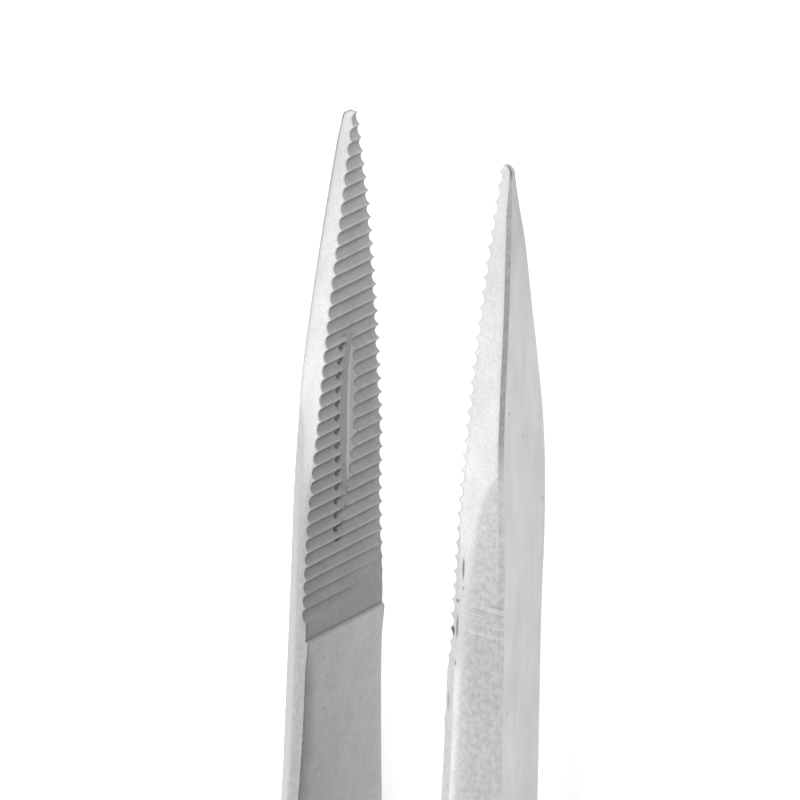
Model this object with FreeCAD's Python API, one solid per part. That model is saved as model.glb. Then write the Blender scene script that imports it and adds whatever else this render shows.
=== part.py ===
import FreeCAD, Part
import math
import os
from FreeCAD import Vector

# Splinter tweezers: two mirrored spring arms of stainless steel, welded face to face at the tail.
# X is the way the arms open, Y runs along them with the tips at +Y, Z is up, across their width.
# The tweezers lie on the side edges of their grips, at Z = 0. All sizes are in millimetres.
# "back" is always the distance back from the tips.

# Whole tool
total_length = 115.0
grip_width = 8.6
tip_width = 0.2
jaw_width = 4.8             # width of the serrated face where its taper ends
width_taper = 22.0          # back to where the jaws reach their full width
width_curve = 1.9           # over 1 a taper is steep at the tip and levels off
shank_start = 23.0          # from here the jaws widen into the grips
flank_end = 28.0            # from here the ground flanks run out into the bevels of the grips
grip_start = 50.0

# Thickness of one arm
tip_thickness = 0.8
jaw_thickness = 1.88
thickness_taper = 16.5
thickness_curve = 1.45
shank_thickness = 2.02      # where the flanks end
grip_thickness = 1.9
spring_start = 66.0         # from here the arms thin down to the springy tail
spring_end = 96.0
tail_thickness = 1.15

# Ground flanks, between the serrated face and the narrower outer face
tip_outer_width = 0.43
jaw_outer_width = 2.49
outer_taper = 12.0
outer_curve = 1.25
tip_land = 0.14             # square side edge left beside the inner face
jaw_land = 0.3
land_start = 12.0
land_end = 16.5
grip_bevel = 0.5            # bevel along the outer edges of the grips
tip_ridge_flat = 0.1        # narrow flat along the ridge between a flank and the outer face
jaw_ridge_flat = 0.2
grip_ridge_flat = 0.3
ridge_fade = 3.0            # back to where the ridge flat has its full width
tip_edge_break = 0.04
jaw_edge_break = 0.16
grip_edge_break = 0.25
nose_radius = 0.3

# Bow of the arms, as distances of the inner face from the middle plane
crest_half_gap = 3.5        # to the crests of the teeth, so the tips stand 7 mm apart
bow_start = 26.0
bow_height = 0.8            # how much further out the grips stand
weld_length = 12.0
heel_angle = 9.5            # degrees each arm turns outwards at the weld
heel_radius = 30.0
weld_allowance = 0.3        # stock that is ground away where the arms are welded
weld_run_in = 6.0
side_allowance = 0.1        # stock that is ground away along the side edges of the grips
tail_corner_radius = 3.0

# Serrations, pressed into a slightly sunk field
field_depth = 0.12
field_length = 21.78
field_slant = 0.25          # how much further back the field ends on the lower side
valley_pitch = 0.6
valley_count = 35
valley_radius = 0.35
valley_depth = 0.2
first_valley = 0.276        # on the left arm; the right arm's teeth stand half a pitch further back

# Groove along the middle of the serrated face
groove_start = 8.4
groove_deepest = 12.0
groove_end = 18.6
groove_depth = 0.3
groove_floor_width = 0.3
upper_wall_angle = 56.0     # from straight in, so the upper wall is gentle and the lower one steep
lower_wall_angle = 28.0
groove_turn_start = 15.0    # from here the groove turns towards the upper side
groove_turn = 0.35
groove_steps = 3            # sections between each end of the groove and its deepest place

# Finger grooves across the outer face of each grip
finger_groove_start = 49.0
finger_groove_pitch = 1.5
finger_groove_count = 14
finger_groove_radius = 1.1
finger_groove_depth = 0.16

section_step = 4.8          # spacing of the sections that shape an arm
clear = 1.0                 # how far cutters reach past what they cut
sliver = 0.001              # what keeps the ends of the groove cutter from having no depth

tip_y = total_length / 2
tail_y = -total_length / 2
middle_z = grip_width / 2
shank_half_gap = crest_half_gap - field_depth
weld_start = total_length - weld_length


def along(back):
    """Y of a point that lies this far back from the tips."""
    return tip_y - back


def ease(back, start, end, first, last):
    """A value that goes smoothly from first to last between two distances."""
    t = min(max((back - start) / (end - start), 0.0), 1.0)
    return first + (last - first) * t * t * (3 - 2 * t)


def flare(back, length, first, last, power):
    """A value that grows fast at the tip and levels off at the given length."""
    t = min(back / length, 1.0)
    return first + (last - first) * (1 - (1 - t) ** power)


def inner_width(back):
    jaw = flare(back, width_taper, tip_width, jaw_width, width_curve)
    return ease(back, shank_start, grip_start, jaw, grip_width + 2 * side_allowance)


def thickness(back):
    jaw = flare(back, thickness_taper, tip_thickness, jaw_thickness, thickness_curve)
    shank = ease(back, thickness_taper, flank_end, jaw, shank_thickness)
    grip = ease(back, flank_end, grip_start, shank, grip_thickness)
    return ease(back, spring_start, spring_end, grip, tail_thickness)


def outer_width(back):
    jaw = flare(back, outer_taper, tip_outer_width, jaw_outer_width, outer_curve)
    return ease(back, flank_end, grip_start, jaw, grip_width - 2 * grip_bevel)


def side_land(back):
    jaw = ease(back, land_start, land_end, tip_land, jaw_land)
    return ease(back, flank_end, grip_start, jaw, thickness(back) - grip_bevel)


def ridge_flat(back):
    jaw = ease(back, 0.0, ridge_fade, tip_ridge_flat, jaw_ridge_flat)
    return ease(back, flank_end, grip_start, jaw, grip_ridge_flat)


def edge_break(back):
    jaw = ease(back, land_start, land_end, tip_edge_break, jaw_edge_break)
    return ease(back, flank_end, grip_start, jaw, grip_edge_break)


def inner_gap(back):
    """Distance of an arm's inner face from the middle plane, before the weld is ground flat.
    From the tail: flat at the weld, a short heel arc outwards, a long bow back, a set-in to the jaws."""
    turn = math.radians(heel_angle)
    heel_rise = heel_radius * (1 - math.cos(turn))
    heel_back = weld_start - heel_radius * math.sin(turn)
    bow_gap = shank_half_gap + bow_height
    bow_radius = (bow_gap - heel_rise) / (1 - math.cos(turn))
    crown_back = heel_back - bow_radius * math.sin(turn)
    if back >= weld_start:
        return 0.0
    if back >= heel_back:
        return heel_radius - math.sqrt(heel_radius ** 2 - (weld_start - back) ** 2)
    if back >= crown_back:
        return bow_gap - bow_radius + math.sqrt(bow_radius ** 2 - (back - crown_back) ** 2)
    return ease(back, bow_start, crown_back, shank_half_gap, bow_gap)


def weld_stock(back):
    return ease(back, weld_start - weld_run_in, weld_start, 0.0, weld_allowance)


def cut_corner(before, corner, after, flat):
    """The two ends of a flat of the given width that takes off a corner."""
    towards_before = (before - corner).normalize()
    towards_after = (after - corner).normalize()
    half_angle = towards_before.getAngle(towards_after) / 2
    reach = flat / 2 / math.sin(half_angle)
    return [corner + towards_before * reach, corner + towards_after * reach]


def arm_section(back):
    """One cross-section of the right arm: inner face, side edges, ground flanks, ridge flats, outer face."""
    gap = inner_gap(back)
    y = along(back)
    inner_x = gap - weld_stock(back)
    edge_x = gap + edge_break(back)
    land_x = edge_x + side_land(back)
    outer_x = gap + thickness(back)
    half_inner = inner_width(back) / 2
    half_outer = outer_width(back) / 2
    edge = Vector(inner_x, y, half_inner - edge_break(back))
    side = Vector(edge_x, y, half_inner)
    shoulder = Vector(land_x, y, half_inner)
    ridge = Vector(outer_x, y, half_outer)
    upper = [edge, side, shoulder] + cut_corner(shoulder, ridge, Vector(outer_x, y, 0), ridge_flat(back))
    lower = [Vector(p.x, y, -p.z) for p in reversed(upper)]
    wire = Part.makePolygon(upper + lower + upper[:1])
    wire.translate(Vector(0, 0, middle_z))
    return wire


def section_places():
    """Distances back from the tips: close together at the nose, then evenly spaced to the tail."""
    nose = [0.0, section_step / 6, section_step / 2]
    count = round(total_length / section_step)
    return nose + [total_length * n / count for n in range(1, count + 1)]


def forged_arm():
    return Part.makeLoft([arm_section(back) for back in section_places()], True, False)


def blank_outline():
    """The strip that an arm is cut from, seen from its face: straight side edges, rounded tail corners."""
    strip = Part.makeBox(2 * total_length, total_length, grip_width, Vector(0, tail_y, 0))
    corners = [edge for edge in strip.Edges
               if abs(edge.BoundBox.YMax - tail_y) < sliver and edge.BoundBox.XLength > total_length]
    return strip.makeFillet(tail_corner_radius, corners)


def nose_cutter():
    """Rounds the outer corner of a tip, seen from the side."""
    outer_x = inner_gap(0) + thickness(0)
    corner = Vector(outer_x + clear, tip_y + clear, 0)
    on_face = Vector(outer_x, tip_y - nose_radius, 0)
    on_end = Vector(outer_x - nose_radius, tip_y, 0)
    diagonal = nose_radius * (1 - math.sqrt(0.5))
    middle = Vector(outer_x - diagonal, tip_y - diagonal, 0)
    wire = Part.Wire([Part.Arc(on_end, middle, on_face).toShape(),
                      Part.LineSegment(on_face, Vector(outer_x + clear, tip_y - nose_radius, 0)).toShape(),
                      Part.LineSegment(Vector(outer_x + clear, tip_y - nose_radius, 0), corner).toShape(),
                      Part.LineSegment(corner, Vector(outer_x - nose_radius, tip_y + clear, 0)).toShape(),
                      Part.LineSegment(Vector(outer_x - nose_radius, tip_y + clear, 0), on_end).toShape()])
    return Part.Face(wire).extrude(Vector(0, 0, grip_width))


def field_cutter():
    """The sunk field of the serrations, which ends in a step slightly askew to the arm."""
    near = along(field_length - field_slant / 2)
    far = along(field_length + field_slant / 2)
    slope = (near - far) / jaw_width
    top = near + slope * (middle_z - jaw_width / 2)
    bottom = far - slope * (middle_z - jaw_width / 2)
    corners = [Vector(0, bottom, 0), Vector(0, tip_y + clear, 0),
               Vector(0, tip_y + clear, grip_width), Vector(0, top, grip_width)]
    return Part.Face(Part.makePolygon(corners + corners[:1])).extrude(Vector(crest_half_gap, 0, 0))


def valley_comb(first):
    """All the tooth valleys of an arm as one cutter: round-bottomed scallops that meet in sharp crests."""
    centre_x = crest_half_gap - (valley_radius - valley_depth)
    meet_x = centre_x + math.sqrt(valley_radius ** 2 - (valley_pitch / 2) ** 2)
    y = along(first - valley_pitch / 2)
    edges = []
    for n in range(valley_count):
        start = Vector(meet_x, y, 0)
        middle = Vector(crest_half_gap + valley_depth, y - valley_pitch / 2, 0)
        end = Vector(meet_x, y - valley_pitch, 0)
        edges.append(Part.Arc(start, middle, end).toShape())
        y -= valley_pitch
    first_y = along(first - valley_pitch / 2)
    open_x = crest_half_gap - clear
    back_side = [Vector(meet_x, y, 0), Vector(open_x, y, 0), Vector(open_x, first_y, 0), Vector(meet_x, first_y, 0)]
    edges += [Part.LineSegment(a, b).toShape() for a, b in zip(back_side, back_side[1:])]
    return Part.Face(Part.Wire(edges)).extrude(Vector(0, 0, grip_width))


def finger_bars():
    """Round bars that cut the finger grooves."""
    bars = []
    for n in range(finger_groove_count):
        back = finger_groove_start + finger_groove_pitch * n
        centre_x = inner_gap(back) + thickness(back) + finger_groove_radius - finger_groove_depth
        foot = Vector(centre_x, along(back), -clear)
        bars.append(Part.makeCylinder(finger_groove_radius, grip_width + 2 * clear, foot, Vector(0, 0, 1)))
    return bars


def groove_section(back, depth):
    """Section of the boat-shaped groove: a flat floor, a gentle upper wall and a steep lower wall."""
    y = along(back)
    half_floor = groove_floor_width / 2 * depth / groove_depth
    rise = depth + clear
    floor_z = middle_z + ease(back, groove_turn_start, groove_end, 0.0, groove_turn)
    upper_z = floor_z + half_floor + rise * math.tan(math.radians(upper_wall_angle))
    lower_z = floor_z - half_floor - rise * math.tan(math.radians(lower_wall_angle))
    floor_x = crest_half_gap + depth
    mouth_x = crest_half_gap - clear
    corners = [Vector(floor_x, y, floor_z - half_floor), Vector(floor_x, y, floor_z + half_floor),
               Vector(mouth_x, y, upper_z), Vector(mouth_x, y, lower_z)]
    return Part.makePolygon(corners + corners[:1])


def groove_cutter():
    """Deepest at one place, and running out to nothing at both ends."""
    def depth(back):
        end = groove_start if back < groove_deepest else groove_end
        t = (back - groove_deepest) / (end - groove_deepest)
        return groove_depth * (1 - t * t) + sliver

    nose = [groove_start + (groove_deepest - groove_start) * n / groove_steps for n in range(groove_steps)]
    tail = [groove_deepest + (groove_end - groove_deepest) * n / groove_steps for n in range(groove_steps + 1)]
    return Part.makeLoft([groove_section(back, depth(back)) for back in nose + tail], True, True)


def arm(first_place):
    """The right arm, with its first tooth valley at the given distance back from the tip."""
    body = forged_arm().common(blank_outline())
    body = body.cut(nose_cutter())
    body = body.cut(field_cutter())
    body = body.cut(groove_cutter())
    body = body.cut(valley_comb(first_place))
    body = body.cut(Part.Compound(finger_bars()))
    return body.Solids[0]


os.makedirs("parts", exist_ok=True)
right_arm = arm(first_valley + valley_pitch / 2)
left_arm = arm(first_valley).mirror(Vector(0, 0, 0), Vector(1, 0, 0))
right_arm.exportStep("parts/right_arm.step")
left_arm.exportStep("parts/left_arm.step")
for name, solid in (("right_arm", right_arm), ("left_arm", left_arm)):
    box = solid.BoundBox
    print(name, solid.isValid(), round(solid.Volume, 2), "mm3,", len(solid.Faces), "faces,",
          "x", round(box.XMin, 3), round(box.XMax, 3), "y", round(box.YMin, 3), round(box.YMax, 3),
          "z", round(box.ZMin, 3), round(box.ZMax, 3))
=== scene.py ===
from math import sin, cos, tan, pi, radians, sqrt, exp, hypot
import bpy
import bmesh
from mathutils import Vector, Matrix


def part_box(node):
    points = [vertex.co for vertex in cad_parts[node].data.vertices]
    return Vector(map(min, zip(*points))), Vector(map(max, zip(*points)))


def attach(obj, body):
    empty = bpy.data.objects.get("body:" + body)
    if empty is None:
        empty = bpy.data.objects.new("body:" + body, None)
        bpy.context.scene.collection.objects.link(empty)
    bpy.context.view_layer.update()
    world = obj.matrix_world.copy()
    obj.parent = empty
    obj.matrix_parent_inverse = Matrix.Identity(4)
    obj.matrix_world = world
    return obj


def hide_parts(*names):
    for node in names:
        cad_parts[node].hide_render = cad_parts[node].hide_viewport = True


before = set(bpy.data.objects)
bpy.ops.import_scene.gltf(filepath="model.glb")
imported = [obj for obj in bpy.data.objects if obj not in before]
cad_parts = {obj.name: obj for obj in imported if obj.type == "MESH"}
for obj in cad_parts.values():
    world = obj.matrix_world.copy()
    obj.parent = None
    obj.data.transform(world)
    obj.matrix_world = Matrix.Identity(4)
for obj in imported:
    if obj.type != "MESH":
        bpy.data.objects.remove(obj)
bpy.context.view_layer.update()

# The arms are worked out in millimetres and stored in metres. "back" is the distance back from the tips.
mm = 0.001
lowCorner, highCorner = [Vector(corner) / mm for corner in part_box("right_arm")]
tipY = highCorner.y
tailY = lowCorner.y
middleZ = (lowCorner.z + highCorner.z) / 2

arm = {
    "tipWidth": 0.2, "jawWidth": 4.8, "widthTaper": 22.0, "widthCurve": 1.9,
    "tipThickness": 0.8, "jawThickness": 1.88, "thicknessTaper": 16.5, "thicknessCurve": 1.45,
    "shankThickness": 2.02, "gripThickness": 1.9, "springStart": 66.0, "springEnd": 96.0, "tailThickness": 1.15,
    "tipOuterWidth": 0.43, "jawOuterWidth": 2.49, "outerTaper": 12.0, "outerCurve": 1.25,
    "shankStart": 23.0, "flankEnd": 28.0, "gripStart": 50.0, "gripWidth": 8.6, "gripBevel": 0.5,
    "tipLand": 0.18, "jawLand": 0.46, "landStart": 12.0, "landEnd": 16.5,
    "edgeBreak": 0.03, "gripEdgeBreak": 0.25,
    "tipRidge": 0.1, "jawRidge": 0.17, "gripRidge": 0.2, "ridgeFade": 2.0, "ridgeDrop": 0.6,
    "noseRadius": 0.28, "tailCorner": 3.0, "tipRound": 0.06, "weldBreak": 0.45,
    "rollDepth": 0.1, "rollWidth": 0.6, "sideAllowance": 0.1,
    "secondFacet": 12.3, "facetSpread": 0.52, "facetBulge": 0.07,
}
leftWork = {         # the two arms are ground by hand, so they aren't quite alike
    "side": -1, "sway": -0.14, "tipThinner": 0.05, "tipNarrower": 0.06, "tipFade": 1.5, "outerSpread": 0.0,
    "stepFrom": 21.72, "stepTo": 21.78, "teethFade": 17.5, "teethGone": 21.5, "fadeAbove": 0.5, "fadeBelow": -2.6,
}
rightWork = {
    "side": 1, "sway": 0.06, "tipThinner": 0.09, "tipNarrower": 0.115, "tipFade": 3.5, "outerSpread": 0.13,
    "stepFrom": 20.6, "stepTo": 22.6, "teethFade": 19.0, "teethGone": 21.0, "fadeAbove": 9.0, "fadeBelow": 8.0,
}
bow = {
    "crestGap": 3.5, "fieldDepth": 0.12, "start": 26.0, "height": 0.8,
    "weldLength": 12.0, "heelAngle": 9.5, "heelRadius": 30.0,
}
teeth = {
    "pitch": 0.6, "count": 35, "radius": 0.35, "depth": 0.2, "firstLeft": 0.276, "firstRight": 0.576,
    "fieldLength": 21.78, "fieldSlant": 0.25,
}
groove = {
    "start": 8.4, "deepest": 12.0, "end": 18.6, "depth": 0.3, "floorAbove": 0.15, "floorBelow": 0.34,
    "upperWall": 56.0, "lowerWall": 56.0, "turnStart": 15.0, "turn": 0.35,
    "pitFrom": 9.4, "pitTo": 18.2, "pitWidth": 0.17, "pitLength": 0.14, "pitDepth": 0.2,
}
fingerGrooves = {"start": 49.0, "pitch": 1.5, "count": 14, "radius": 1.1, "depth": 0.16}
fineness = {          # how many faces the mesh of an arm has along and around it
    "perTooth": 12, "shankStep": 0.45, "perFingerGroove": 10, "tailStep": 0.25,
    "inner": 60, "corner": 2, "land": 2, "flank": 6, "ridge": 4, "outer": 8,
}


def ease(value, start, end, first, last):
    t = min(max((value - start) / (end - start), 0.0), 1.0)
    return first + (last - first) * t * t * (3 - 2 * t)


def flare(back, length, first, last, power):
    return first + (last - first) * (1 - (1 - min(max(back, 0.0) / length, 1.0)) ** power)


def innerWidth(back):
    jaw = flare(back, arm["widthTaper"], arm["tipWidth"], arm["jawWidth"], arm["widthCurve"])
    grip = arm["gripWidth"] + 2 * arm["sideAllowance"]
    return min(ease(back, arm["shankStart"], arm["gripStart"], jaw, grip), arm["gripWidth"])


def outerWidth(back):
    jaw = flare(back, arm["outerTaper"], arm["tipOuterWidth"], arm["jawOuterWidth"], arm["outerCurve"])
    return ease(back, arm["flankEnd"], arm["gripStart"], jaw, arm["gripWidth"] - 2 * arm["gripBevel"])


def thickness(back):
    jaw = flare(back, arm["thicknessTaper"], arm["tipThickness"], arm["jawThickness"], arm["thicknessCurve"])
    shank = ease(back, arm["thicknessTaper"], arm["flankEnd"], jaw, arm["shankThickness"])
    grip = ease(back, arm["flankEnd"], arm["gripStart"], shank, arm["gripThickness"])
    return ease(back, arm["springStart"], arm["springEnd"], grip, arm["tailThickness"])


def landDepth(back):
    jaw = ease(back, arm["landStart"], arm["landEnd"], arm["tipLand"], arm["jawLand"])
    return ease(back, arm["flankEnd"], arm["gripStart"], jaw, thickness(back) - arm["gripBevel"])


def ridgeReach(back):
    jaw = ease(back, 0, arm["ridgeFade"], arm["tipRidge"], arm["jawRidge"])
    return ease(back, arm["flankEnd"], arm["gripStart"], jaw, arm["gripRidge"])


def innerGap(back):
    # from the tail: flat at the weld, a short heel arc outwards, a long bow back, a set-in to the jaws
    turn = radians(bow["heelAngle"])
    weldStart = tipY - tailY - bow["weldLength"]
    heelBack = weldStart - bow["heelRadius"] * sin(turn)
    shankGap = bow["crestGap"] - bow["fieldDepth"]
    fullGap = shankGap + bow["height"]
    bowRadius = (fullGap - bow["heelRadius"] * (1 - cos(turn))) / (1 - cos(turn))
    crown = heelBack - bowRadius * sin(turn)
    if back >= weldStart:
        return 0.0
    if back >= heelBack:
        return bow["heelRadius"] - sqrt(bow["heelRadius"] ** 2 - (weldStart - back) ** 2)
    if back >= crown:
        return fullGap - bowRadius + sqrt(bowRadius ** 2 - (back - crown) ** 2)
    return ease(back, bow["start"], crown, shankGap, fullGap)


def toothValley(back, first):
    # how deep the round-bottomed valleys go below the field, and how far back from a valley's middle this is
    n = round((back - first) / teeth["pitch"])
    off = back - first - n * teeth["pitch"]
    if n >= teeth["count"] or abs(off) >= teeth["radius"]:
        return 0.0, off
    return max(sqrt(teeth["radius"] ** 2 - off ** 2) - teeth["radius"] + teeth["depth"], 0.0), off


def grooveDepth(back, z):
    # z is measured from the middle of the face
    if not groove["start"] < back < groove["end"]:
        return 0.0
    end = groove["start"] if back < groove["deepest"] else groove["end"]
    share = 1 - ((back - groove["deepest"]) / (end - groove["deepest"])) ** 2
    z -= ease(back, groove["turnStart"], groove["end"], 0, groove["turn"])
    side = abs(z) - (groove["floorAbove"] if z > 0 else groove["floorBelow"]) * share
    wall = groove["upperWall"] if z > 0 else groove["lowerWall"]
    return max(groove["depth"] * share - max(side, 0) / tan(radians(wall)), 0.0)


def grooveUpperLip(back):
    # where the gentle upper wall comes out of the face
    end = groove["start"] if back < groove["deepest"] else groove["end"]
    share = max(1 - ((back - groove["deepest"]) / (end - groove["deepest"])) ** 2, 0.0)
    lean = ease(back, groove["turnStart"], groove["end"], 0, groove["turn"])
    return lean + share * (groove["floorAbove"] + groove["depth"] * tan(radians(groove["upperWall"])))


def pitDepth(back, z, off):
    # the forging die leaves a small pit at the end of each valley, along the groove's upper lip
    if not groove["pitFrom"] < back < groove["pitTo"]:
        return 0.0
    away = hypot((z - grooveUpperLip(back) * 0.75) / groove["pitWidth"], off / groove["pitLength"])
    return groove["pitDepth"] * exp(-away ** 2)


def faceDepth(back, z, first, work):
    # how deep the inner face lies below the shank's face
    field = ease(back, work["stepFrom"], work["stepTo"], bow["fieldDepth"], 0)
    valley, off = toothValley(back, first)
    worn = ease(back, work["teethFade"], work["teethGone"], 0, 1) * ease(z, work["fadeAbove"], work["fadeBelow"], 0, 1)
    valley *= 1 - worn
    return max(field + valley, (bow["fieldDepth"] if field else 0) + grooveDepth(back, z)) + pitDepth(back, z, off)


def paintedLightZone(back, z, first):
    # 1 on the groove's lower wall, 0 in the rest of it, -1 on the teeth and -2 in the middle of a pit; the finish uses
    # these for the painted highlight on the lower wall, the painted highlights and shade on the teeth and the painted
    # shade in the pits
    valley, off = toothValley(back, first)
    pit = pitDepth(back, z, off) / groove["pitDepth"]
    if grooveDepth(back, z) > valley and pit < 0.2:
        return 1 if z < -groove["floorBelow"] * 0.6 else 0
    return -1 - pit


def stations():
    step = teeth["pitch"] / fineness["perTooth"]
    fieldEnd = teeth["fieldLength"] + teeth["fieldSlant"]
    places = [0.0, 0.02, 0.05] + [n * step + step / 2 for n in range(1, int(fieldEnd / step) + 6)]
    grooveStep = fingerGrooves["pitch"] / fineness["perFingerGroove"]
    grooveFrom = fingerGrooves["start"] - fingerGrooves["pitch"]
    grooveTo = fingerGrooves["start"] + fingerGrooves["pitch"] * fingerGrooves["count"]
    length = tipY - tailY
    while places[-1] < length - arm["tailCorner"]:
        fine = grooveFrom < places[-1] < grooveTo
        places.append(places[-1] + (grooveStep if fine else fineness["shankStep"]))
    tailCount = int(arm["tailCorner"] / fineness["tailStep"])
    last = length - arm["tailCorner"]
    places = [place for place in places if place < last - 0.05]
    places += [last + arm["tailCorner"] * sin(pi / 2 * n / tailCount) for n in range(tailCount + 1)]
    return places


def fingerDepth(back):
    n = round((back - fingerGrooves["start"]) / fingerGrooves["pitch"])
    n = min(max(n, 0), fingerGrooves["count"] - 1)
    off = back - fingerGrooves["start"] - n * fingerGrooves["pitch"]
    if abs(off) >= fingerGrooves["radius"]:
        return 0.0
    return max(sqrt(fingerGrooves["radius"] ** 2 - off ** 2) - fingerGrooves["radius"] + fingerGrooves["depth"], 0.0)


def acrossInner():
    # places across the inner face from -1 to 1, closest together round the groove
    count = fineness["inner"]
    places = []
    for n in range(count + 1):
        t = 2 * n / count - 1
        places.append(0.45 * t + 0.55 * t ** 3)
    return places


def endRound(back):
    # how far the blunt tip end is rounded in all round
    reach = arm["tipRound"]
    return reach - sqrt(max(reach ** 2 - max(reach - back, 0) ** 2, 0))


def halfSection(back, first, side, work):
    # depth and height of the upper or lower half of a section, from the middle of the inner face to the outer face
    length = tipY - tailY
    slim = ease(back, 0, work["tipFade"], 1, 0)
    fullThick = thickness(back) - work["tipThinner"] * slim
    land = landDepth(back)
    sway = work["sway"] * ease(back, 0, 5, 0, 1) * ease(back, 13, 17, 1, 0)
    spread = work["outerSpread"] * ease(back, 5, 11, 0, 1) * ease(back, 13.5, 20, 1, 0)
    halfInner = innerWidth(back) / 2 - endRound(back) + side * sway
    halfOuter = outerWidth(back) / 2 - endRound(back) - work["tipNarrower"] * slim + spread
    tailIn = max(back - length + arm["tailCorner"], 0)
    limit = arm["gripWidth"] / 2 - arm["tailCorner"] + sqrt(max(arm["tailCorner"] ** 2 - tailIn ** 2, 0))
    nose = max(arm["noseRadius"] - back, 0)
    noseCut = arm["noseRadius"] - sqrt(arm["noseRadius"] ** 2 - nose ** 2)
    cutThick = fullThick - max(noseCut, fingerDepth(back))

    def halfAt(depth):
        share = min(max((depth - land) / (fullThick - land), 0), 1)
        return halfInner + (halfOuter - halfInner) * share

    weld = ease(back, length - bow["weldLength"] - 6, length - bow["weldLength"], 1, arm["weldBreak"])
    corner = ease(back, arm["flankEnd"], arm["gripStart"], arm["edgeBreak"], arm["gripEdgeBreak"]) * weld
    edgeDepth = faceDepth(back, side * halfInner, first, work) + endRound(back)
    halfFace = min(halfAt(edgeDepth), limit)
    corner = min(corner, halfFace * 0.3)
    points = []
    for place in acrossInner():
        if place >= 0:
            z = place * (halfFace - corner)
            depth = max(faceDepth(back, side * z, first, work), endRound(back)) + rollOff(back, halfFace - z)
            points.append((place, paintedLightZone(back, side * z, first), depth, z))
    edgeDepth = points[-1][2]
    for n in range(1, fineness["corner"] + 1):
        turn = pi / 2 * n / fineness["corner"]
        depth = edgeDepth + corner * (1 - cos(turn))
        points.append((1 + 0.2 * n / fineness["corner"], -1, depth, halfFace - corner + corner * sin(turn)))
    sideTop = edgeDepth + corner
    shoulder = max(land, sideTop + 0.01)
    for n in range(1, fineness["land"] + 1):
        depth = sideTop + (shoulder - sideTop) * n / fineness["land"]
        points.append((1.2 + 0.8 * n / fineness["land"], -1, depth, halfAt(depth)))
    reach = min(ridgeReach(back), (cutThick - shoulder) / 3, halfAt(cutThick) / 2)
    slope = Vector((cutThick - shoulder, halfAt(cutThick) - halfAt(shoulder)))
    ridgeStart = Vector((cutThick, halfAt(cutThick))) - slope.normalized() * reach
    knee = 1 / (1 + arm["facetSpread"] * max(back - arm["secondFacet"], 0))
    bulge = ease(back, arm["secondFacet"], arm["secondFacet"] + 3, 0, arm["facetBulge"]) * ease(back, 30, 45, 1, 0)
    away = Vector((-slope.y, slope.x)).normalized()
    half = fineness["flank"] // 2
    for n in range(1, fineness["flank"] + 1):
        share = knee * n / half if n <= half else knee + (1 - knee) * (n - half) / half
        depth = shoulder + (ridgeStart.x - shoulder) * share
        rise = bulge * min(share / knee, (1 - share) / max(1 - knee, 0.01))
        past = (share - knee) * (slope.length - reach)
        points.append((2 + share, past, depth + away.x * rise, halfAt(depth) + away.y * rise))
    for n in range(1, fineness["ridge"] + 1):
        t = n / fineness["ridge"]
        facet = ridgeStart.lerp(Vector((cutThick, halfAt(cutThick) - reach * arm["ridgeDrop"])), t)
        points.append((3 + t, past + reach * t, facet.x, facet.y))
    for n in range(1, fineness["outer"] // 2 + 1):
        t = n / (fineness["outer"] // 2)
        points.append((4 + t, 1, cutThick, (halfAt(cutThick) - reach * arm["ridgeDrop"]) * (1 - t)))
    return [(around, past, depth, min(z, limit)) for around, past, depth, z in points]


def rollOff(back, fromEdge):
    # the shank's face, which the die didn't press, is rubbed down a little along its edges
    amount = ease(back, teeth["fieldLength"], teeth["fieldLength"] + 1.5, 0, arm["rollDepth"])
    return amount * max(1 - fromEdge / arm["rollWidth"], 0) ** 2


def buildArm(name, first, work):
    places = stations()
    rings = []
    for back in places:
        lower = halfSection(back, first, -1, work)[1:-1]
        lower = [(around, past, depth, -z) for around, past, depth, z in reversed(lower)]
        rings.append(halfSection(back, first, 1, work) + lower)
    size = len(rings[0])
    mesh = bmesh.new()
    around = mesh.verts.layers.float.new("around")
    facet = mesh.verts.layers.float.new("facet")
    tooth = mesh.verts.layers.float.new("tooth")
    sunk = mesh.verts.layers.float.new("sunk")
    bmesh.ops.create_grid(mesh, x_segments=len(places) - 1, y_segments=size, size=1)
    for vert in mesh.verts:
        station = round((vert.co.x + 1) / 2 * (len(places) - 1))
        place, past, depth, z = rings[station][round((vert.co.y + 1) / 2 * size) % size]
        back = places[station]
        vert[around] = place
        vert[facet] = past
        valley, off = toothValley(back, first)
        vert[tooth] = off if valley else 0
        vert[sunk] = depth
        vert.co = Vector((work["side"] * (innerGap(back) + depth), tipY - back, middleZ + z)) * mm
    bmesh.ops.remove_doubles(mesh, verts=mesh.verts, dist=1e-9)
    bmesh.ops.holes_fill(mesh, edges=[edge for edge in mesh.edges if edge.is_boundary])
    bmesh.ops.recalc_face_normals(mesh, faces=mesh.faces)
    for face in mesh.faces:
        face.smooth = True
    for edge in mesh.edges:
        start, end = [round(vert[around], 3) for vert in edge.verts]
        if start == end and start in (2, 3, 4):
            edge.smooth = False
        elif start < 1.2 and end < 1.2 and edge.calc_face_angle(0) > radians(30):
            edge.smooth = False
    data = bpy.data.meshes.new(name)
    mesh.to_mesh(data)
    mesh.free()
    piece = bpy.data.objects.new(name, data)
    bpy.context.scene.collection.objects.link(piece)
    print("made", name, len(data.polygons), "faces")
    return piece


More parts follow.
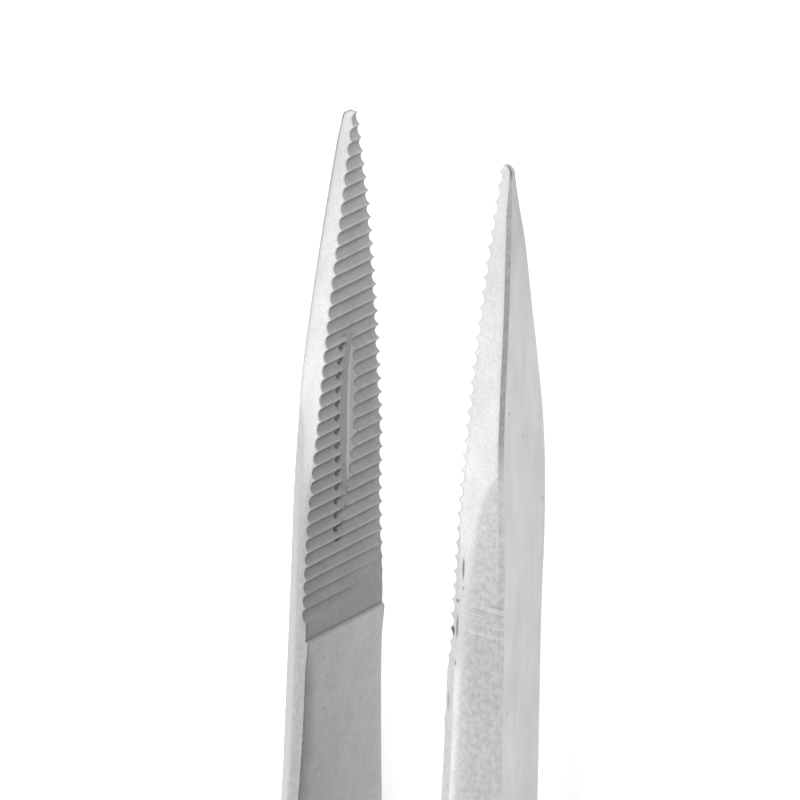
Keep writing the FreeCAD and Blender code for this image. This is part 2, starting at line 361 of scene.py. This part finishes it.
class Value:
    # a node's output that can be used in sums, so that a mask reads as an expression
    def __init__(self, finish, socket):
        self.finish = finish
        self.socket = socket

    def math(self, operation, first, second=None):
        values = {0: first} if second is None else {0: first, 1: second}
        return self.finish.node("ShaderNodeMath", {"operation": operation}, values)[0]

    def __add__(self, other):
        return self.math("ADD", self, other)

    def __sub__(self, other):
        return self.math("SUBTRACT", self, other)

    def __rsub__(self, other):
        return self.math("SUBTRACT", other, self)

    def __mul__(self, other):
        return self.math("MULTIPLY", self, other)

    def __truediv__(self, other):
        return self.math("DIVIDE", self, other)

    def __pow__(self, other):
        return self.math("POWER", self, other)

    __radd__ = __add__
    __rmul__ = __mul__

    def rise(self, start, end, first=0.0, last=1.0):
        # goes smoothly from first to last as this value goes from start to end
        settings = {"interpolation_type": "SMOOTHSTEP"}
        inputs = {"Value": self, "From Min": start, "From Max": end, "To Min": first, "To Max": last}
        return self.finish.node("ShaderNodeMapRange", settings, inputs)[0]


class Finish:
    # a material under construction
    def __init__(self, name):
        self.material = bpy.data.materials.new(name)
        self.material.use_nodes = True
        self.nodes = self.material.node_tree.nodes
        self.links = self.material.node_tree.links
        self.shader = self.nodes["Principled BSDF"]

    def feed(self, socket, value):
        if isinstance(value, Value):
            self.links.new(value.socket, socket)
        else:
            socket.default_value = value

    def node(self, kind, settings, inputs):
        made = self.nodes.new(kind)
        for setting, value in settings.items():
            setattr(made, setting, value)
        for name, value in inputs.items():
            self.feed(made.inputs[name], value)
        return [Value(self, socket) for socket in made.outputs]

    def set(self, **inputs):
        for name, value in inputs.items():
            self.feed(self.shader.inputs[name.replace("_", " ")], value)

    def attribute(self, name):
        return self.node("ShaderNodeAttribute", {"attribute_name": name}, {})[2]

    def place(self, scale, turn=(0, 0, 0)):
        coordinates = self.node("ShaderNodeTexCoord", {}, {})[3]
        turned = self.node("ShaderNodeMapping", {}, {"Vector": coordinates, "Rotation": turn})[0]
        return self.node("ShaderNodeMapping", {}, {"Vector": turned, "Scale": scale})[0]

    def position(self):
        # in millimetres, with the height measured from the middle of the arm
        coordinates = self.node("ShaderNodeTexCoord", {}, {})[3]
        x, y, z = self.node("ShaderNodeSeparateXYZ", {}, {"Vector": coordinates})
        return x / mm, y / mm, z / mm - middleZ

    def noise(self, scale, turn=(0, 0, 0), detail=4.0):
        inputs = {"Vector": self.place(scale, turn), "Scale": 1.0, "Detail": detail}
        return self.node("ShaderNodeTexNoise", {}, inputs)[0]

    def grey(self, value):
        return self.node("ShaderNodeCombineColor", {}, {0: value, 1: value, 2: value})[0]

    def bump(self, height, strength, distance):
        return self.node("ShaderNodeBump", {}, {"Height": height, "Strength": strength, "Distance": distance})[0]


steel = {
    "flankTip": 0.465, "flankBack": 0.51, "second": 0.385, "land": 0.39, "outerTip": 0.33, "outerBack": 0.43,
    # ridgeFront and ridgeBack are painted reflection on the ridge facet
    # strip is painted shade on the right arm's flank
    "ridgeFront": 0.66, "ridgeBack": 1.35, "leftBack": 0.74, "strip": 0.86,
    # pit is painted shade in the middle of the pits
    # the last two factors here are a painted highlight on the tooth crests and painted shade in the valleys
    # wall is a painted highlight on the groove's lower wall
    "teeth": 0.272, "shank": 0.405, "nose": 0.62, "pit": 0.5, "wall": 1.7, "paintedCrestHighlight": 1.18, "shade": 0.8,
    "roughness": 0.36, "innerRoughness": 0.5, "brushLean": -15.0, "scratchLean": 23.7,
}
marks = {            # depth from the middle plane, distance back, height, half length, half width, how dark
    "speckByRidge": (4.97, 9.83, 0.87, 0.09, 0.04, 0.5),
    "speckOuter": (5.04, 11.01, 0.09, 0.07, 0.05, 0.28),
    "speckEdge": (5.19, 14.05, -1.1, 0.12, 0.07, 0.25),
    "speckBack": (5.33, 22.54, 0.85, 0.07, 0.06, 0.25),
    "burrLong": (3.975, 16.3, 2.16, 0.6, 0.05, 0.6),
    "burrShort": (4.02, 17.11, 2.18, 0.1, 0.05, 0.4),
    "burrTooth": (3.84, 17.65, 2.29, 0.1, 0.1, 0.45),
    "burrLine": (3.88, 18.75, 2.31, 0.65, 0.05, 0.5),
    "burrDark": (3.7, 18.95, 2.34, 0.22, 0.1, 0.75),
    "burrSmall": (3.885, 20.28, 2.36, 0.14, 0.05, 0.4),
    "burrLast": (3.63, 21.95, 2.4, 0.45, 0.07, 0.28),
    "shankUpper": (-3.38, 22.73, 1.39, 0.1, 0.07, 0.25),
    "shankMiddle": (-3.38, 23.7, 1.1, 0.05, 0.12, 0.2),
    "shankLower": (-3.38, 25.04, 1.24, 0.07, 0.1, 0.18),
    "shankFaint": (-3.38, 24.65, -0.18, 0.07, 0.07, 0.12),
}


def steelFinish():
    finish = Finish("satinSteel")
    around = finish.attribute("around")
    facet = finish.attribute("facet")
    sunk = finish.attribute("sunk")
    tooth = finish.attribute("tooth")
    x, y, z = finish.position()
    back = tipY - y
    brush = finish.noise((13000, 1500, 24000), (radians(steel["brushLean"]), 0, 0), 3.0) - 0.5
    mottle = finish.noise((5200, 4200, 5200)) - 0.5
    cloud = finish.noise((900, 500, 900), detail=2.0) - 0.5
    grain = finish.noise((5000, 350, 5000), detail=2.0) - 0.5
    scratch = finish.noise((150, 11000, 150), (0, 0, radians(steel["scratchLean"])), 2.0) - 0.5

    inner = around.rise(1.05, 0.95)
    land = around.rise(1.1, 1.2) * around.rise(2.05, 1.95)
    outer = around.rise(3.9, 4.03)
    onLeft = x.rise(0, -1)
    second = (facet + mottle * 0.35 + brush * 0.7).rise(-0.16, 0.08)
    ridge = around.rise(3.0, 3.03)
    second = 1 - (1 - second) * (1 - onLeft * back.rise(11.5, 18)) * (1 - ridge)
    flank = back.rise(0, 13, steel["flankTip"], steel["flankBack"]) * (1 + brush * 0.5 + cloud * 0.3)
    # painted shade on the right arm's flank from 14.5 to 22 mm back
    flank = flank * (1 - (1 - onLeft) * back.rise(14.5, 16.5) * back.rise(22, 19.5) * (1 - steel["strip"]))
    dullAndRidgeReflection = steel["second"] * (1 + mottle * 0.6 + brush * 0.4)
    # painted reflection on the ridge facet: darker up to 10 mm back, lighter from 14 mm back
    dullAndRidgeReflection = dullAndRidgeReflection * (1 - ridge * (1 - back.rise(10, 14, steel["ridgeFront"], steel["ridgeBack"])))
    smooth = back.rise(0, 9, steel["outerTip"], steel["outerBack"]) * (1 + grain * 0.2 + cloud * 0.25)
    tone = flank * (1 - second) + dullAndRidgeReflection * second
    tone = tone * (1 - land) + steel["land"] * (1 + mottle * 0.5) * land
    tone = tone * (1 - onLeft * back.rise(11.5, 18) * (1 - steel["leftBack"]))
    tone = tone * (1 - outer) + smooth * outer

    field = sunk.rise(0.1, 0.12)
    innerTone = steel["shank"] * (1 - field) + steel["teeth"] * field
    # painted highlight on the tooth crests and painted shade on the tipward half of each valley, only where the teeth
    # are cut
    paintedCrestHighlight = tooth.rise(0.2, 0.27) + tooth.rise(-0.27, -0.29)
    shade = tooth.rise(-0.27, -0.22) * tooth.rise(-0.02, -0.2)
    cut = field * facet.rise(-0.3, -0.7) * back.rise(20.5, 18.5)
    innerTone = innerTone * (1 + cut * paintedCrestHighlight * (steel["paintedCrestHighlight"] - 1) - cut * shade * (1 - steel["shade"]))
    # painted highlight on the groove's lower wall
    innerTone = innerTone * (1 + facet.rise(0.3, 0.7) * (steel["wall"] - 1))
    # painted shade in the middle of each pit
    innerTone = innerTone * (1 - facet.rise(-1.2, -1.6) * (1 - steel["pit"]))
    innerTone = innerTone * (1 + cloud * 0.25 + mottle * 0.3)
    tone = tone * (1 - inner) + innerTone * inner

    nose = around.rise(2.9, 3.05) * around.rise(4.7, 4.3) * back.rise(0.6, 0.3)
    tone = tone * (1 - nose * (1 - steel["nose"]))
    rows = back.rise(17.7, 17.9) * back.rise(18.5, 18.3) + back.rise(18.5, 18.7) * back.rise(19.4, 19.1)
    tone = tone * (1 - rows * second * (1 - outer) * x.rise(0, 1) * scratch * 0.9)
    for depth, spot, height, halfLength, halfWidth, dark in marks.values():
        away = ((x - depth) / halfWidth) ** 2 + ((back - spot) / halfLength) ** 2 + ((z - height) / halfWidth) ** 2
        tone = tone * (1 - away.rise(1.2, 0.3) * dark)
    finish.set(Base_Color=finish.grey(tone), Metallic=1.0)
    finish.set(Roughness=inner.rise(0, 1, steel["roughness"], steel["innerRoughness"]) + brush * 0.2)
    relief = (brush * (1 - outer) + mottle * second * (1 - outer) * 1.5 + grain * outer * 0.3) * (1 - inner)
    finish.set(Normal=finish.bump(relief, 0.3, 0.00002))
    return finish.material


def floorFinish():
    finish = Finish("paleFloor")
    finish.set(Base_Color=(0.98, 0.98, 0.98, 1), Roughness=0.9)
    return finish.material


view = {             # fitted to the teeth and outlines of both jaws
    "turn": 37.96, "rise": 24.99, "roll": 1.68, "distance": 565.86, "pixelsPerMm": 26.099,
    "right": 1.125, "up": 10.062, "sensor": 36, "imageSize": 800,
}
studio = {             # a white tent with one grey gap, low on the side that the ridges reflect
    "sky": 1.74, "gapLight": 0.8, "gapWay": (0.9, -0.43, 0.15), "gapFrom": 0.76, "gapTo": 0.97,
    "lampPower": 0.25, "lampSize": 1.6, "lampSpot": (-0.2, 0.6, 0.6), "lampAim": (0, 0.045, 0.004),
}


def aimCamera():
    # worked out as if the tweezers stood on their tail, then laid down with them
    turn, rise, roll = [radians(view[name]) for name in ("turn", "rise", "roll")]
    away = Vector((sin(turn) * cos(rise), -cos(turn) * cos(rise), sin(rise)))
    right = Vector((cos(turn), sin(turn), 0))
    up = away.cross(right)
    right, up = right * cos(roll) + up * sin(roll), up * cos(roll) - right * sin(roll)
    spot = away * view["distance"] - right * view["right"] - up * view["up"]
    spot, right, up, away = [Vector((v.x, v.z, -v.y)) for v in (spot, right, up, away)]
    data = bpy.data.cameras.new("camera")
    camera = bpy.data.objects.new("camera", data)
    bpy.context.scene.collection.objects.link(camera)
    camera.matrix_world = Matrix((right, up, away)).transposed().to_4x4()
    camera.matrix_world.translation = (spot + Vector((0, tipY, middleZ))) * mm
    data.sensor_width = view["sensor"]
    data.lens = view["pixelsPerMm"] * view["distance"] * view["sensor"] / view["imageSize"]
    data.clip_start = 0.01
    data.clip_end = 10
    bpy.context.scene.camera = camera


def softbox():
    data = bpy.data.lights.new("softbox", "AREA")
    data.shape = "DISK"
    data.size = studio["lampSize"]
    data.energy = studio["lampPower"]
    light = bpy.data.objects.new("softbox", data)
    bpy.context.scene.collection.objects.link(light)
    light.location = studio["lampSpot"]
    light.rotation_euler = (Vector(studio["lampAim"]) - light.location).to_track_quat("-Z", "Y").to_euler()


def lightTent():
    world = bpy.data.worlds.new("lightTent")
    world.use_nodes = True
    nodes = world.node_tree.nodes
    links = world.node_tree.links
    towards = nodes.new("ShaderNodeVectorMath")
    towards.operation = "DOT_PRODUCT"
    links.new(nodes.new("ShaderNodeTexCoord").outputs["Generated"], towards.inputs[0])
    towards.inputs[1].default_value = Vector(studio["gapWay"]).normalized()
    gap = nodes.new("ShaderNodeMapRange")
    gap.interpolation_type = "SMOOTHSTEP"
    links.new(towards.outputs["Value"], gap.inputs["Value"])
    for name, value in (("From Min", "gapFrom"), ("From Max", "gapTo"), ("To Min", "sky"), ("To Max", "gapLight")):
        gap.inputs[name].default_value = studio[value]
    links.new(gap.outputs[0], nodes["Background"].inputs["Strength"])
    nodes["Background"].inputs["Color"].default_value = (1, 1, 1, 1)
    bpy.context.scene.world = world


leftArm = buildArm("leftArm", teeth["firstLeft"], leftWork)
rightArm = buildArm("rightArm", teeth["firstRight"], rightWork)
steelMaterial = steelFinish()
for piece, node in ((leftArm, "left_arm"), (rightArm, "right_arm")):
    piece.data.materials.append(steelMaterial)
    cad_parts[node].data.materials.clear()
    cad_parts[node].data.materials.append(steelMaterial)
    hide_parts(node)
    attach(piece, "root")

bpy.ops.mesh.primitive_plane_add(size=3)
table = bpy.context.object
table.name = "table"
table.data.materials.append(floorFinish())
aimCamera()
softbox()
lightTent()
bpy.context.scene.view_settings.view_transform = "Standard"
print("lit and aimed")
